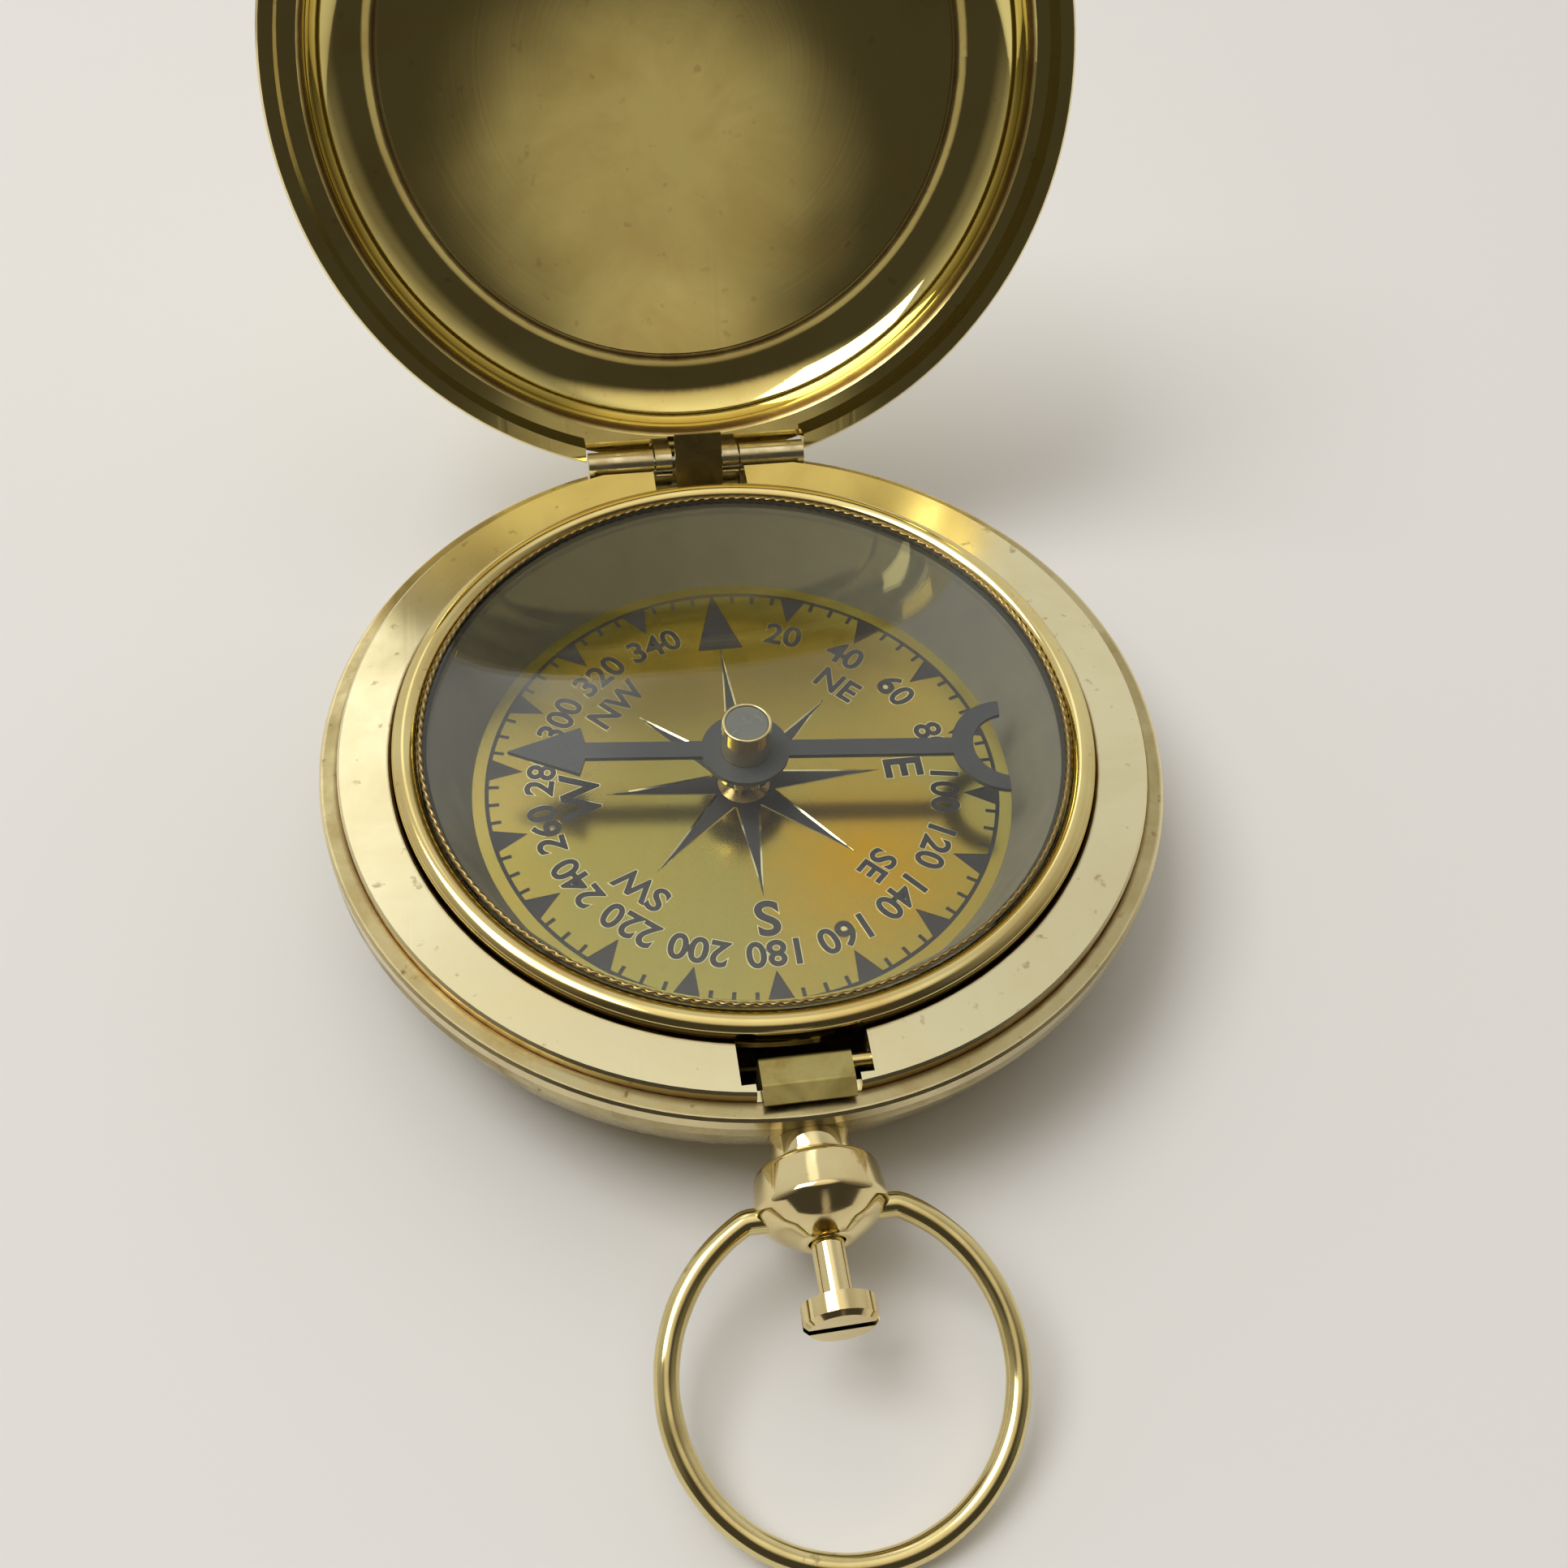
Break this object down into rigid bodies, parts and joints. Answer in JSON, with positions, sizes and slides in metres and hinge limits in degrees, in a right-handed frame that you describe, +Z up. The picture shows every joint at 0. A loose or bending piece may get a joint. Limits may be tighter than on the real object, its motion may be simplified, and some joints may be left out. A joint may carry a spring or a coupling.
{
  "type": "pocket compass",
  "caption": "Pocket compass: round brass case with domed hinged lid, push-button crown and bow, glazed dial with wind rose and a pivoting arrow needle.",
  "frame": {"origin": "centre of the case's flat base, on the surface that it stands on", "axes": "+Z up, square to the dial; +Y from the crown to the lid's hinge, which is north on the dial; +X to the right, east on the dial"},
  "size_m": [0.05, 0.0937, 0.0543],
  "materials": {
    "case_brass": "polished, lightly tarnished",
    "ring_brass": "brushed",
    "spring_brass": "worn, dark olive",
    "dial_brass": "brushed, satin",
    "black_enamel": "satin",
    "grey_paint": "matte",
    "clear_glass": "polished",
    "dark_wire": "dark",
    "steel": "bright",
    "blued_steel": "blued",
    "grey_jewel": "polished"
  },
  "bodies": {
    "case": {"case_body": "case_brass", "top_ring": "ring_brass", "compass_bowl": "case_brass", "bezel": "case_brass", "glass": "clear_glass", "glass_retaining_ring": "dark_wire", "spacer_ring": "grey_paint", "dial": "dial_brass", "dial_enamel": "black_enamel", "pivot_post": "steel", "case_hinge_knuckles": "ring_brass", "hinge_pin": "ring_brass", "lid_spring_pin": "steel", "crown_collar": "case_brass", "crown_ball": "case_brass", "catch_spring_post": "ring_brass"},
    "lid": {"lid": "case_brass", "lid_hinge_knuckles": "ring_brass"},
    "lid_spring": {"lid_spring": "spring_brass"},
    "needle": {"needle": "blued_steel", "needle_cap": "case_brass", "cap_jewel": "grey_jewel"},
    "latch": {"catch": "spring_brass", "catch_guide_pin": "ring_brass", "push_button": "case_brass"},
    "catch_spring": {"catch_spring": "steel"},
    "bow": {"bow": "case_brass"}
  },
  "joints": [
    {"name": "lid_hinge", "type": "hinge", "parent": "case", "child": "lid", "pos_m": [0, 0.02424, 0.00927], "axis": [1, 0, 0], "range_deg": [0, 114]},
    {"name": "lid_spring_flex", "type": "hinge", "parent": "case", "child": "lid_spring", "pos_m": [0, 0.0217, 0.0084], "axis": [1, 0, 0], "range_deg": [0, 38.5]},
    {"name": "needle_spin", "type": "hinge", "parent": "case", "child": "needle", "pos_m": [0, 0, 0.0102], "axis": [0, 0, 1], "continuous": true},
    {"name": "button_press", "type": "slide", "parent": "case", "child": "latch", "axis": [0, 1, 0], "range_m": [0, 0.0006], "stiffness_N_per_m": 800, "springref_m": -0.0005},
    {"name": "catch_spring_flex", "type": "hinge", "parent": "case", "child": "catch_spring", "pos_m": [-0.0086, -0.0197, 0.006], "axis": [0, 0, 1], "range_deg": [0, 3.6]},
    {"name": "bow_swing", "type": "hinge", "parent": "case", "child": "bow", "pos_m": [0, -0.0289, 0.006], "axis": [-1, 0, 0], "range_deg": [-85, 140]}
  ],
  "couplings": [
    {"joint": "lid_spring_flex", "follows": "lid_hinge", "ratio": 0.33333},
    {"joint": "catch_spring_flex", "follows": "button_press", "rad_per_m": 102.04}
  ]
}
